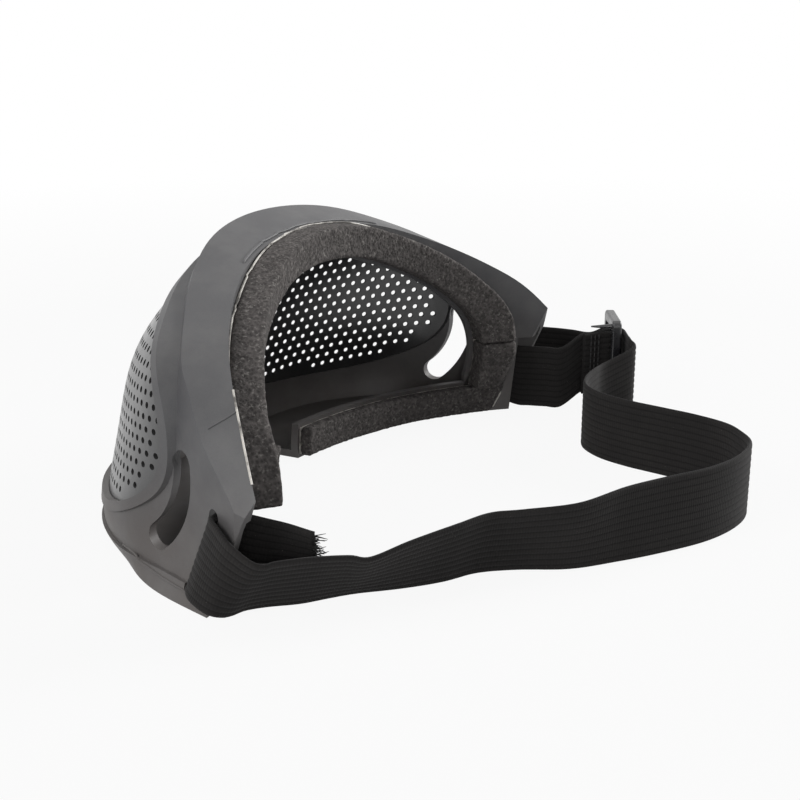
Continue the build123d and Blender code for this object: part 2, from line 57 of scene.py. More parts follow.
def startTree(name, kind, inputs, outputs):
    tree = bpy.data.node_groups.new(name, kind)
    for label, socketKind, value in inputs:
        socket = tree.interface.new_socket(label, in_out="INPUT", socket_type=socketKind)
        if value is not None:
            socket.default_value = value
    for label, socketKind in outputs:
        tree.interface.new_socket(label, in_out="OUTPUT", socket_type=socketKind)
    return tree, tree.nodes.new("NodeGroupInput").outputs, tree.nodes.new("NodeGroupOutput").inputs


def setInput(tree, socket, value):
    if isinstance(value, bpy.types.NodeSocket):
        tree.links.new(value, socket)
    else:
        socket.default_value = value


def addNode(tree, kind, inputs, **settings):
    node = tree.nodes.new(kind)
    for name, value in settings.items():
        setattr(node, name, value)
    for label, value in inputs.items():
        setInput(tree, next(s for s in node.inputs if s.name == label and s.enabled), value)
    return node


def liveOut(node):
    return next(s for s in node.outputs if s.enabled)


def addMath(tree, kind, a, b=0.0):
    node = addNode(tree, "ShaderNodeMath", {}, operation=kind)
    for socket, value in zip(node.inputs, (a, b)):
        setInput(tree, socket, value)
    return node.outputs[0]


def addMix(tree, share, a, b):
    return liveOut(addNode(tree, "ShaderNodeMix", {"Factor": share, "A": a, "B": b}, data_type="RGBA"))


def addNoise(tree, spot, scale, detail, rough=0.5):
    given = {"Vector": spot, "Scale": scale, "Detail": detail, "Roughness": rough}
    return addNode(tree, "ShaderNodeTexNoise", given).outputs["Fac"]


def addRange(tree, value, span, to=(0.0, 1.0)):
    given = {"Value": value, "From Min": span[0], "From Max": span[1], "To Min": to[0], "To Max": to[1]}
    return addNode(tree, "ShaderNodeMapRange", given).outputs["Result"]


def splitOf(tree, vector):
    return addNode(tree, "ShaderNodeSeparateXYZ", {"Vector": vector}).outputs


# Shader groups that several materials share

grainShape = {"cloudDetail": 4, "cloudEdge": (0.3, 0.7), "grainDetail": 3, "grainRough": 0.7}
dustShape = {"speckEdge": (0.05, 0.16), "patchScale": 160.0, "patchDetail": 3, "patchEdge": (0.5, 0.7),
             "filmFrom": 0.2, "filmMost": 0.5}


def grainGroup():
    tree, given, made = startTree(
        "Moulded grain", "ShaderNodeTree",
        [("Vector", "NodeSocketVector", None), ("Coarse scale", "NodeSocketFloat", 90.0),
         ("Fine scale", "NodeSocketFloat", 2600.0)],
        [("Cloud", "NodeSocketFloat"), ("Grain", "NodeSocketFloat")])
    shape = grainShape
    cloud = addNoise(tree, given["Vector"], given["Coarse scale"], shape["cloudDetail"])
    fine = addNoise(tree, given["Vector"], given["Fine scale"], shape["grainDetail"], shape["grainRough"])
    tree.links.new(addRange(tree, cloud, shape["cloudEdge"]), made["Cloud"])
    tree.links.new(fine, made["Grain"])
    return tree


def dustGroup():
    tree, given, made = startTree(
        "Settled dust", "ShaderNodeTree",
        [("Vector", "NodeSocketVector", None), ("Upward", "NodeSocketFloat", 0.0),
         ("Speck scale", "NodeSocketFloat", 900.0)],
        [("Mask", "NodeSocketFloat")])
    shape = dustShape
    specks = addNode(tree, "ShaderNodeTexVoronoi", {"Vector": given["Vector"], "Scale": given["Speck scale"]})
    near = addRange(tree, specks.outputs["Distance"], shape["speckEdge"], (1.0, 0.0))
    cloud = addNoise(tree, given["Vector"], shape["patchScale"], shape["patchDetail"])
    spots = addMath(tree, "MULTIPLY", near, addRange(tree, cloud, shape["patchEdge"]))
    film = addRange(tree, given["Upward"], (shape["filmFrom"], 1.0), (0.0, shape["filmMost"]))
    tree.links.new(addMath(tree, "MAXIMUM", spots, film), made["Mask"])
    return tree


grain, dust = grainGroup(), dustGroup()


def grainOf(tree, spot, look):
    given = {"Vector": spot, "Coarse scale": look["cloudScale"], "Fine scale": look["grainScale"]}
    return addNode(tree, "ShaderNodeGroup", given, node_tree=grain).outputs


def dustOf(tree, spot, look):
    upward = splitOf(tree, tree.nodes.new("ShaderNodeNewGeometry").outputs["Normal"])["Z"]
    given = {"Vector": spot, "Upward": upward, "Speck scale": look["speckScale"]}
    settled = addNode(tree, "ShaderNodeGroup", given, node_tree=dust).outputs["Mask"]
    return addMath(tree, "MULTIPLY", settled, look["dustShare"])


def startMaterial(name):
    material = bpy.data.materials.new(name)
    material.use_nodes = True
    tree = material.node_tree
    return material, tree, tree.nodes.new("ShaderNodeTexCoord").outputs


def finishMaterial(tree, look, colour, rough, height):
    shader = tree.nodes["Principled BSDF"].inputs
    bump = addNode(tree, "ShaderNodeBump",
                   {"Strength": look["bump"], "Distance": look["bumpDepth"] * mm, "Height": height})
    for label, value in (("Base Color", colour), ("Roughness", rough), ("Normal", bump.outputs["Normal"]),
                         ("Specular IOR Level", look["specular"])):
        setInput(tree, shader[label], value)
    return shader


# Materials; scales are per metre, bump depths in millimetres, heights such as warmTop in metres

rubberLook = {
    "cool": (0.063, 0.063, 0.068, 1), "warm": (0.098, 0.086, 0.080, 1), "dust": (0.20, 0.195, 0.19, 1),
    "warmTop": 0.034, "warmFoot": 0.006, "warmLeast": 0.65, "cloudScale": 70.0, "grainScale": 3200.0,
    "smudgeScale": 60.0, "smudgeEdge": (0.40, 0.64), "smudge": 0.22, "grainShare": 0.22, "speckScale": 700.0,
    "dustShare": 0.22, "roughness": (0.50, 0.62), "specular": 0.42, "bump": 0.35, "bumpDepth": 0.06,
}


def makeRubber():
    look = rubberLook
    material, tree, coords = startMaterial("matt rubber")
    spot = coords["Object"]
    grains = grainOf(tree, spot, look)
    lower = addRange(tree, splitOf(tree, spot)["Z"], (look["warmTop"], look["warmFoot"]))
    tint = addMath(tree, "MULTIPLY", lower, addRange(tree, grains["Cloud"], (0, 1), (look["warmLeast"], 1.0)))
    body = addMix(tree, tint, look["cool"], look["warm"])
    blur = addNoise(tree, spot, look["smudgeScale"], detail=5, rough=0.6)
    smudge = addRange(tree, blur, look["smudgeEdge"], (0.0, look["smudge"]))
    marks = addMath(tree, "ADD", addMath(tree, "MULTIPLY", grains["Grain"], look["grainShare"]), smudge)
    shade = addMix(tree, marks, body, look["dust"])
    colour = addMix(tree, dustOf(tree, spot, look), shade, look["dust"])
    rough = addRange(tree, grains["Cloud"], (0, 1), look["roughness"])
    finishMaterial(tree, look, colour, rough, grains["Grain"])
    return material


# The near-black given to the hole walls is painted shade, standing in for the shade inside the punched holes
lensLook = {
    "paint": (0.014, 0.014, 0.015, 1), "worn": (0.13, 0.12, 0.118, 1), "shadedBore": (0.003, 0.003, 0.003, 1),
    "cloudScale": 140.0, "grainScale": 4200.0, "fleckEdge": (0.52, 0.75), "fleckShare": 0.35,
    "roughness": (0.28, 0.40), "specular": 0.65, "coat": 0.5, "coatRoughness": 0.32, "bump": 0.25,
    "bumpDepth": 0.04, "boreArea": 6.0, "sameFace": 35.0,  # square millimetres and degrees
}


def markShadedBores(piece):
    # The walls of the punched holes are found as small patches bounded by sharp edges, and marked for a
    # painted shade: their near-black colour stands in for the shade inside the holes
    data = piece.data
    sharp = math.cos(math.radians(lensLook["sameFace"]))
    shared, group = {}, list(range(len(data.polygons)))
    corners = [tuple(round(c, 6) for c in v.co) for v in data.vertices]

    def root(n):
        while group[n] != n:
            group[n] = group[group[n]]
            n = group[n]
        return n

    for face in data.polygons:
        ring = [corners[v] for v in face.vertices]
        for a, b in zip(ring, ring[1:] + ring[:1]):
            other = shared.setdefault(frozenset((a, b)), face.index)
            if other != face.index and data.polygons[other].normal.dot(face.normal) > sharp:
                group[root(face.index)] = root(other)
    area = {}
    for face in data.polygons:
        area[root(face.index)] = area.get(root(face.index), 0) + face.area
    mask = data.attributes.new("shadedBore", "FLOAT", "FACE")
    limit = lensLook["boreArea"] * mm * mm
    mask.data.foreach_set("value", [float(area[root(f.index)] < limit) for f in data.polygons])


def makeLensMetal():
    look = lensLook
    material, tree, coords = startMaterial("painted mesh")
    grains = grainOf(tree, coords["Object"], look)
    # The hole walls get painted shade: a near-black colour, with full roughness and no coat
    shadedBore = addNode(tree, "ShaderNodeAttribute", {}, attribute_name="shadedBore").outputs["Fac"]
    fleck = addMath(tree, "MULTIPLY", addRange(tree, grains["Grain"], look["fleckEdge"]), look["fleckShare"])
    sheet = addMix(tree, fleck, look["paint"], look["worn"])
    sheen = addRange(tree, grains["Cloud"], (0, 1), look["roughness"])
    shader = finishMaterial(tree, look, addMix(tree, shadedBore, sheet, look["shadedBore"]),
                            addMath(tree, "MAXIMUM", sheen, shadedBore), grains["Grain"])
    tree.links.new(addRange(tree, shadedBore, (0, 1), (look["coat"], 0.0)), shader["Coat Weight"])
    shader["Coat Roughness"].default_value = look["coatRoughness"]
    return material


foamLook = {
    "pore": (0.040, 0.037, 0.036, 1), "wall": (0.146, 0.134, 0.129, 1), "fleck": (0.32, 0.305, 0.285, 1),
    "cellScale": 1100.0, "cellEdge": (0.10, 0.70), "cellLeast": 0.25,
    "coarseScale": 520.0, "coarseEdge": (0.34, 0.66), "coarseLeast": 0.30,
    "fleckScale": 1100.0, "fleckEdge": (0.56, 0.70), "fleckShare": 0.55,
    "roughness": (0.88, 1.0), "specular": 0.15, "bump": 0.7, "bumpDepth": 0.18,
}


def makeFoam():
    look = foamLook
    material, tree, coords = startMaterial("open cell foam")
    spot = coords["Object"]
    cells = addNode(tree, "ShaderNodeTexVoronoi", {"Vector": spot, "Scale": look["cellScale"]})
    pores = addRange(tree, cells.outputs["Distance"], look["cellEdge"])
    coarse = addRange(tree, addNoise(tree, spot, look["coarseScale"], detail=3, rough=0.6), look["coarseEdge"])
    wall = addMath(tree, "MULTIPLY", addRange(tree, pores, (0, 1), (look["cellLeast"], 1.0)),
                   addRange(tree, coarse, (0, 1), (look["coarseLeast"], 1.0)))
    body = addMix(tree, wall, look["pore"], look["wall"])
    bright = addRange(tree, addNoise(tree, spot, look["fleckScale"], detail=2, rough=0.7), look["fleckEdge"])
    colour = addMix(tree, addMath(tree, "MULTIPLY", bright, look["fleckShare"]), body, look["fleck"])
    rough = addRange(tree, coarse, (0, 1), look["roughness"])
    finishMaterial(tree, look, colour, rough, addMath(tree, "ADD", pores, coarse))
    return material


tapeLook = {
    "pale": (0.66, 0.63, 0.58, 1), "soiled": (0.13, 0.12, 0.11, 1), "blotchScale": 180.0,
    "blotchEdge": (0.42, 0.60), "roughness": (0.4, 0.7), "specular": 0.5, "bump": 0.4, "bumpDepth": 0.08,
}


def makeTape():
    look = tapeLook
    material, tree, coords = startMaterial("adhesive tape")
    cloud = addNoise(tree, coords["Object"], look["blotchScale"], detail=4, rough=0.6)
    blotch = addRange(tree, cloud, look["blotchEdge"])
    colour = addMix(tree, blotch, look["pale"], look["soiled"])
    finishMaterial(tree, look, colour, addRange(tree, blotch, (0, 1), look["roughness"]), blotch)
    return material


# The elastic band's sizes in millimetres, which its weave follows too
band = {
    "width": 20.0, "thickness": 1.2, "ribs": 11, "perRib": 6, "ribDepthShare": 0.30, "ribRound": 0.7,
    "edgeRound": 0.45, "edgeLeast": 0.25, "ringStep": 0.95, "samples": 40,
    "crimp": 0.02, "crimpAcross": 40.0, "crimpAlong": 0.9, "crimpSide": 9.0, "seed": 3,
    "rag": 1.1, "ragScale": 26.0, "ragPlace": (4.0, 1.0), "ragLeast": 0.1, "floorGap": 0.03,
    "firstLift": 0.7, "outerLift": 2.8, "innerLift": 1.4,
    "buckleSide": 101.0, "buckleForward": -31.5, "buckleTurn": 26.2, "buckleHeight": 29.5,
    "buckleLength": 18.0, "barRadius": 1.1, "barClearance": 0.25, "lap": 12.0, "lapGap": 0.2,
}
webLook = {
    "yarn": (0.0095, 0.0090, 0.0090, 1), "lit": (0.0360, 0.0335, 0.0325, 1), "lint": (0.13, 0.12, 0.11, 1),
    "crestEdge": (0.0, 0.6), "crestLeast": 0.25, "pickPitch": 0.7, "pickLeast": 0.82,
    "swayScale": 500.0, "sway": 4.0, "yarnScale": 2300.0, "yarnEdge": (0.3, 0.7), "yarnLeast": 0.5,
    "rubScale": 55.0, "rubEdge": (0.4, 0.7), "rubLeast": 0.6,
    "lintScale": 1500.0, "lintEdge": (0.77, 0.81), "lintShare": 0.5,
    "roughness": (0.80, 0.96), "specular": 0.16, "sheen": 0.05, "sheenRoughness": 0.5,
    "bump": 0.5, "bumpDepth": 0.04,
}


def makeWebbing():
    look = webLook
    material, tree, coords = startMaterial("elastic webbing")
    spot, weave = coords["Object"], splitOf(tree, coords["UV"])
    ribs = addMath(tree, "SINE", addMath(tree, "MULTIPLY", weave["X"], band["ribs"] * math.pi))
    crest = addRange(tree, addMath(tree, "ABSOLUTE", ribs), look["crestEdge"], (look["crestLeast"], 1.0))
    along = addMath(tree, "MULTIPLY", weave["Y"], 2 * math.pi * band["width"] / look["pickPitch"])
    sway = addMath(tree, "MULTIPLY", addNoise(tree, spot, look["swayScale"], detail=2), look["sway"])
    picks = addMath(tree, "SINE", addMath(tree, "ADD", along, sway))
    yarns = addNoise(tree, spot, look["yarnScale"], detail=3, rough=0.7)
    lift = addMath(tree, "MULTIPLY", addRange(tree, picks, (-1, 1), (look["pickLeast"], 1.0)),
                   addRange(tree, yarns, look["yarnEdge"], (look["yarnLeast"], 1.0)))
    rubbed = addRange(tree, addNoise(tree, spot, look["rubScale"], detail=3), look["rubEdge"],
                      (look["rubLeast"], 1.0))
    lit = addMath(tree, "MULTIPLY", addMath(tree, "MULTIPLY", lift, crest), rubbed)
    lint = addRange(tree, addNoise(tree, spot, look["lintScale"], detail=1), look["lintEdge"])
    colour = addMix(tree, addMath(tree, "MULTIPLY", lint, look["lintShare"]),
                    addMix(tree, lit, look["yarn"], look["lit"]), look["lint"])
    rough = addRange(tree, yarns, (0, 1), look["roughness"])
    shader = finishMaterial(tree, look, colour, rough, addMath(tree, "ADD", picks, yarns))
    shader["Sheen Weight"].default_value = look["sheen"]
    shader["Sheen Roughness"].default_value = look["sheenRoughness"]
    return material


threadLook = {
    "dark": (0.010, 0.010, 0.011, 1), "lit": (0.045, 0.043, 0.043, 1), "twistScale": 900.0, "wobble": 2.0,
    "roughness": (0.6, 0.8), "specular": 0.5, "bump": 0.6, "bumpDepth": 0.05,
}


def makeThread():
    look = threadLook
    material, tree, coords = startMaterial("sewing thread")
    given = {"Vector": coords["Object"], "Scale": look["twistScale"], "Distortion": look["wobble"]}
    twist = addNode(tree, "ShaderNodeTexWave", given).outputs["Fac"]
    colour = addMix(tree, twist, look["dark"], look["lit"])
    finishMaterial(tree, look, colour, addRange(tree, twist, (0, 1), look["roughness"]), twist)
    return material


buckleLook = {
    "dark": (0.010, 0.010, 0.012, 1), "grey": (0.022, 0.022, 0.024, 1), "dust": (0.2, 0.2, 0.2, 1),
    "cloudScale": 200.0, "grainScale": 3000.0, "speckScale": 1100.0, "dustShare": 0.2,
    "roughness": (0.20, 0.34), "specular": 0.6, "bump": 0.2, "bumpDepth": 0.03,
}


def makeBucklePlastic():
    look = buckleLook
    material, tree, coords = startMaterial("buckle plastic")
    grains = grainOf(tree, coords["Object"], look)
    body = addMix(tree, grains["Cloud"], look["dark"], look["grey"])
    colour = addMix(tree, dustOf(tree, coords["Object"], look), body, look["dust"])
    rough = addRange(tree, grains["Cloud"], (0, 1), look["roughness"])
    finishMaterial(tree, look, colour, rough, grains["Grain"])
    return material


rubber, lensMetal, foam, tape = makeRubber(), makeLensMetal(), makeFoam(), makeTape()
webbing, thread, bucklePlastic = makeWebbing(), makeThread(), makeBucklePlastic()
print("materials made")


def dress(piece, material):
    piece.data.materials.clear()
    piece.data.materials.append(material)


for name, piece in nodes.items():
    if name.endswith("_tape"):
        dress(piece, tape)
    elif name.startswith("buckle"):
        dress(piece, bucklePlastic)
    elif name.endswith("_lens"):
        dress(piece, lensMetal)
        # The hole walls are marked here for their painted shade
        markShadedBores(piece)
    elif name == "goggle_frame":
        dress(piece, rubber)
print("CAD nodes dressed")


def addObject(name, data):
    thing = bpy.data.objects.new(name, data)
    bpy.context.scene.collection.objects.link(thing)
    return thing


def makePiece(name, mesh, material):
    data = bpy.data.meshes.new(name)
    mesh.to_mesh(data)
    mesh.free()
    data.materials.append(material)
    return addObject(name, data)


def settle(piece):
    # The evaluated shape becomes a plain mesh, and no modifier is left
    graph = bpy.context.evaluated_depsgraph_get()
    solid = bpy.data.meshes.new_from_object(piece.evaluated_get(graph))
    piece.modifiers.clear()
    piece.data = solid


# The elastic band, one ribbed ribbon along the route of its CAD stretches. A route's row is the
# band's foot and top edge; sideways and forward are shares of half the frame's width, height of the band's.
tailShares = [
    ((-0.787, -0.197, 0.12), (-0.876, -0.242, 1.04)),
    ((-0.838, -0.131, 0.15), (-0.889, -0.177, 1.11)),
    ((-0.887, -0.064, 0.16), (-0.897, -0.122, 1.14)),
    ((-0.897, -0.006, 0.17), (-0.897, -0.072, 1.15)),
]
nearTurnShares = [
    ((-0.897, 0.030, 0.17), (-0.897, -0.055, 1.16)),
    ((-0.905, 0.070, 0.17), (-0.906, -0.017, 1.16)),
    ((-0.929, 0.086, 0.17), (-0.933, -0.004, 1.16)),
    ((-0.957, 0.080, 0.17), (-0.963, -0.010, 1.16)),
    ((-0.993, 0.042, 0.15), (-0.996, -0.051, 1.13)),
    ((-1.003, -0.012, 0.08), (-1.022, -0.102, 1.03)),
]
# Sideways, forward, and how far the top edge leans out, as a share of a right angle
runShares = [
    (-0.962, -0.038, 0.36), (-0.911, -0.058, 0.42), (-0.867, -0.100, 0.41), (-0.817, -0.163, 0.40),
    (-0.753, -0.215, 0.44), (-0.700, -0.262, 0.48), (-0.633, -0.345, 0.38), (-0.545, -0.430, 0.29),
    (-0.455, -0.490, 0.26), (-0.389, -0.578, 0.25), (-0.322, -0.705, 0.18), (-0.222, -0.806, 0.05),
    (-0.122, -0.890, 0.0), (0.0, -0.976, 0.0), (0.105, -1.022, 0.0), (0.205, -1.041, 0.0),
    (0.285, -1.031, 0.0), (0.348, -0.993, 0.0), (0.406, -0.934, 0.0), (0.445, -0.835, 0.0),
    (0.468, -0.730, 0.0), (0.495, -0.600, 0.0), (0.535, -0.500, 0.0), (0.600, -0.430, 0.0),
    (0.690, -0.400, 0.0), (0.790, -0.395, 0.0), (0.870, -0.403, 0.0),
]
threadShares = [(-0.90, 0.225), (-0.62, 0.205), (-0.36, 0.198), (-0.14, 0.198),
                (0.045, 0.190), (0.150, 0.130), (0.200, 0.020), (0.215, -0.110)]
outerPlyShares = [(1.130, -0.262), (1.134, -0.190), (1.130, -0.115), (1.106, -0.045)]
innerPlyShares = [(0.942, -0.222), (0.920, -0.170), (0.905, -0.115), (0.898, -0.068)]
lapRunShares = [1.0, 0.75, 0.5]
lapTurnShares = [(-1.9, 0.72), (-0.9, 0.98), (0.0, 1.0), (0.72, 0.72)]
bandLift = (band["buckleHeight"] - band["width"]) / 2


def edgeRows(shares):
    return [(a[0] * halfSpan, a[1] * halfSpan, a[2] * band["width"],
             b[0] * halfSpan, b[1] * halfSpan, b[2] * band["width"]) for a, b in shares]


def leaningRows(shares):
    rows = []
    for i, (x, y, lean) in enumerate(shares):
        before, after = shares[max(0, i - 1)], shares[min(i + 1, len(shares) - 1)]
        dx, dy = after[0] - before[0], after[1] - before[1]
        run = math.hypot(dx, dy)
        side, up = math.sin(lean * math.pi / 2), math.cos(lean * math.pi / 2)
        foot = (x * halfSpan, y * halfSpan, 0)
        rows.append(foot + (foot[0] + dy / run * side * band["width"],
                            foot[1] - dx / run * side * band["width"], up * band["width"]))
    return rows


def uprightRows(points, lift):
    return [(x, y, lift, x, y, lift + band["width"]) for x, y in points]


def buckleSpot(along, across):
    turn = math.radians(band["buckleTurn"])
    size = band["buckleLength"]
    return (band["buckleSide"] + (along * math.cos(turn) + across * math.sin(turn)) * size,
            band["buckleForward"] + (along * math.sin(turn) - across * math.cos(turn)) * size)


def lapPoints():
    radius = band["barRadius"] + band["barClearance"] + band["thickness"] / 2
    halfLap = (band["thickness"] + band["lapGap"]) / 2
    centre = Vector((band["buckleSide"], band["buckleForward"]))
    axis = (centre - Vector(innerPlyShares[0]) * halfSpan).normalized()
    aside = Vector((-axis.y, axis.x))
    half = [(-band["lap"] * share, halfLap) for share in lapRunShares]
    half += [(radius * a, radius * b) for a, b in lapTurnShares]
    local = [(a, -b) for a, b in half] + [(radius, 0)] + half[::-1]
    return [tuple(centre + axis * a + aside * b) for a, b in local]


def bandRows():
    thread = [buckleSpot(a, b) for a, b in threadShares]
    mirrored = [((-a[0], a[1], a[2]), (-b[0], b[1], b[2])) for a, b in nearTurnShares[::-1]]
    rows = edgeRows(tailShares) + edgeRows(nearTurnShares) + leaningRows(runShares)
    rows += uprightRows(thread[:1], bandLift * band["firstLift"]) + uprightRows(thread[1:], bandLift)
    rows += uprightRows([(x * halfSpan, y * halfSpan) for x, y in outerPlyShares], band["outerLift"])
    rows += edgeRows(mirrored[1:])
    rows += uprightRows([(x * halfSpan, y * halfSpan) for x, y in innerPlyShares[::-1]], band["innerLift"])
    return rows + uprightRows(lapPoints()[::-1], bandLift)


def between(rows, spot):
    # A Catmull-Rom curve through the rows
    i = min(int(spot), len(rows) - 2)
    t = spot - i
    p1, p2 = rows[i], rows[i + 1]
    p0 = rows[i - 1] if i else [2 * a - b for a, b in zip(p1, p2)]
    p3 = rows[i + 2] if i + 2 < len(rows) else [2 * b - a for a, b in zip(p1, p2)]
    return [0.5 * (2 * b + (c - a) * t + (2 * a - 5 * b + 4 * c - d) * t ** 2
                   + (3 * b - a - 3 * c + d) * t ** 3) for a, b, c, d in zip(p0, p1, p2, p3)]


def bandRings(rows):
    # Even rings along the middle line, each with its foot, top, direction and distance from the tail
    fine = band["samples"]
    samples = [between(rows, k / fine) for k in range(fine * (len(rows) - 1) + 1)]
    middles = [Vector([(a + b) / 2 for a, b in zip(s[:3], s[3:])]) for s in samples]
    lengths = [0.0]
    for a, b in zip(middles[:-1], middles[1:]):
        lengths.append(lengths[-1] + (b - a).length)
    count = int(lengths[-1] / band["ringStep"])
    rings, k = [], 0
    for n in range(count + 1):
        want = lengths[-1] * n / count
        while k < len(lengths) - 2 and lengths[k + 1] < want:
            k += 1
        part = (want - lengths[k]) / (lengths[k + 1] - lengths[k])
        row = [a + (b - a) * part for a, b in zip(samples[k], samples[k + 1])]
        ahead, behind = samples[min(k + 2, len(samples) - 1)], samples[max(k - 1, 0)]
        along = Vector([a + c - b - d for a, b, c, d in
                        zip(ahead[:3], behind[:3], ahead[3:], behind[3:])]).normalized()
        rings.append((Vector(row[:3]), Vector(row[3:]), along, want))
    return rings


def halfThickness(share):
    wave = abs(math.sin(math.pi * band["ribs"] * share)) ** band["ribRound"]
    ribbed = band["thickness"] / 2 * (1 - band["ribDepthShare"] * (1 - wave))
    inward = min(share, 1 - share) * band["width"]
    if inward >= band["edgeRound"]:
        return ribbed
    rest = 1 - inward / band["edgeRound"]
    return ribbed * max(band["edgeLeast"], math.sqrt(max(0.0, 1 - rest * rest)))


def buildBand(rings):
    across = band["ribs"] * band["perRib"]
    shares = [j / across for j in range(across + 1)]
    mesh = bmesh.new()
    uvLayer = mesh.loops.layers.uv.new("UVMap")
    noise.seed_set(band["seed"])
    loops = []
    for place, (foot, top, along, length) in enumerate(rings):
        out = along.cross((top - foot).normalized()).normalized()
        ring = []
        for sign, order in ((1, shares), (-1, shares[::-1])):
            for share in order:
                weave = (share * band["crimpAcross"], length * band["crimpAlong"], sign * band["crimpSide"])
                half = halfThickness(share) + band["crimp"] * noise.noise(Vector(weave))
                spot = foot + (top - foot) * share + out * sign * half
                if place == 0:
                    rag = band["rag"] * noise.noise(Vector((share * band["ragScale"], *band["ragPlace"])))
                    spot -= along * (abs(rag) + band["ragLeast"])
                spot = spot * mm + origin
                spot.z = max(spot.z, band["floorGap"] * mm)
                ring.append((mesh.verts.new(spot), share, length / band["width"]))
        loops.append(ring)
    size = len(loops[0])
    for first, second in zip(loops[:-1], loops[1:]):
        for j in range(size):
            k = (j + 1) % size
            corners = [first[j], first[k], second[k], second[j]]
            face = mesh.faces.new([c[0] for c in corners])
            face.smooth = True
            for loop, corner in zip(face.loops, corners):
                loop[uvLayer].uv = (corner[1], corner[2])
    for ring in (loops[0], loops[-1]):
        for j in range(size // 2 - 1):
            quad = [ring[j], ring[j + 1], ring[size - 2 - j], ring[size - 1 - j]]
            mesh.faces.new([c[0] for c in quad])
    bmesh.ops.recalc_face_normals(mesh, faces=mesh.faces)
    return makePiece("elastic_band", mesh, webbing)


ringsMade = bandRings(bandRows())
bandPiece = buildBand(ringsMade)


# Geometry Nodes: stitches along a line, threads of a frayed edge, beads along a line

shapeIn, shapeOut = ("Geometry", "NodeSocketGeometry", None), ("Geometry", "NodeSocketGeometry")
materialIn = ("Material", "NodeSocketMaterial", None)


def startShape(name, inputs):
    return startTree(name, "GeometryNodeTree", [shapeIn, *inputs, materialIn], [shapeOut])


def endShape(tree, given, made, shape):
    real = addNode(tree, "GeometryNodeRealizeInstances", {"Geometry": shape})
    smooth = addNode(tree, "GeometryNodeSetShadeSmooth", {"Geometry": real.outputs[0]})
    painted = {"Geometry": smooth.outputs[0], "Material": given["Material"]}
    tree.links.new(addNode(tree, "GeometryNodeSetMaterial", painted).outputs[0], made["Geometry"])
    return tree


def lineOf(tree, given):
    return addNode(tree, "GeometryNodeMeshToCurve", {"Mesh": given["Geometry"]}).outputs[0]


def threadSize(tree, given, length):
    radius = given["Thread radius"]
    return addNode(tree, "ShaderNodeCombineXYZ", {"X": radius, "Y": radius, "Z": length}).outputs[0]


def linePiece(name, points, tree, values, material):
    data = bpy.data.meshes.new(name)
    data.from_pydata([tuple(p) for p in points], [(i, i + 1) for i in range(len(points) - 1)], [])
    piece = addObject(name, data)
    modifier = piece.modifiers.new("shape", "NODES")
    modifier.node_group = tree
    given = {**values, "Material": material}
    for item in tree.interface.items_tree:
        if item.item_type == "SOCKET" and item.in_out == "INPUT" and item.name in given:
            modifier[item.identifier] = given[item.name]
    settle(piece)
    return piece


# Stitching across the sewn end, on both of its faces
sewing = {"pitch": 1.9, "stitch": 1.7, "radius": 0.22, "margin": 1.4, "rows": 3, "rowGap": 1.5, "inset": 0.5,
          "proud": 0.12, "segments": 8, "rings": 6}


def stitchTree():
    tree, given, made = startShape("Row of stitches", [
        ("Pitch", "NodeSocketFloat", 0.0022), ("Stitch length", "NodeSocketFloat", 0.0016),
        ("Thread radius", "NodeSocketFloat", 0.00022)])
    spots = addNode(tree, "GeometryNodeCurveToPoints",
                    {"Curve": lineOf(tree, given), "Length": given["Pitch"]}, mode="LENGTH").outputs
    ball = addNode(tree, "GeometryNodeMeshUVSphere",
                   {"Segments": sewing["segments"], "Rings": sewing["rings"], "Radius": 1.0})
    halfLength = addMath(tree, "MULTIPLY", given["Stitch length"], 0.5)
    placed = {"Points": spots["Points"], "Instance": ball.outputs["Mesh"], "Rotation": spots["Rotation"],
              "Scale": threadSize(tree, given, halfLength)}
    return endShape(tree, given, made, addNode(tree, "GeometryNodeInstanceOnPoints", placed).outputs[0])


def sewnRows():
    stitches = stitchTree()
    centre = Vector((band["buckleSide"], band["buckleForward"], bandLift))
    inner = Vector((innerPlyShares[0][0] * halfSpan, innerPlyShares[0][1] * halfSpan, bandLift))
    axis = (centre - inner).normalized()
    aside = Vector((-axis.y, axis.x, 0))
    face = band["thickness"] + band["lapGap"] / 2 + sewing["proud"]
    values = {"Pitch": sewing["pitch"] * mm, "Stitch length": sewing["stitch"] * mm,
              "Thread radius": sewing["radius"] * mm}
    pieces = []
    for side, label in ((1, "outer"), (-1, "inner")):
        for row in range(sewing["rows"]):
            back = band["lap"] / 2 + sewing["inset"] + row * sewing["rowGap"]
            start = centre - axis * back + aside * (side * face)
            low = start + Vector((0, 0, sewing["margin"]))
            high = start + Vector((0, 0, band["width"] - sewing["margin"]))
            points = [(low + (high - low) * t) * mm + origin for t in (0, 0.5, 1)]
            pieces.append(linePiece(f"tack_stitches_{label}_{row + 1}", points, stitches, values, thread))
    return pieces


tackPieces = sewnRows()
print("stitches placed", len(tackPieces))

# Loose threads at the cut end of the tail
fray = {"count": 90, "longest": 3.6, "shortest": 0.8, "radius": 0.17, "spread": 0.42, "depth": 0.35,
        "root": 0.5, "across": (0.03, 0.5, 0.97), "sides": 6, "segments": 2, "tip": 0.35, "seed": 11}


def scatterVector(tree, given, label):
    # A random vector inside a cube of the named half side
    roll = addNode(tree, "FunctionNodeRandomValue",
                   {"Min": (-1, -1, -1), "Max": (1, 1, 1), "Seed": given["Seed"]}, data_type="FLOAT_VECTOR")
    scaled = {"Vector": liveOut(roll), "Scale": given[label]}
    return addNode(tree, "ShaderNodeVectorMath", scaled, operation="SCALE").outputs[0]


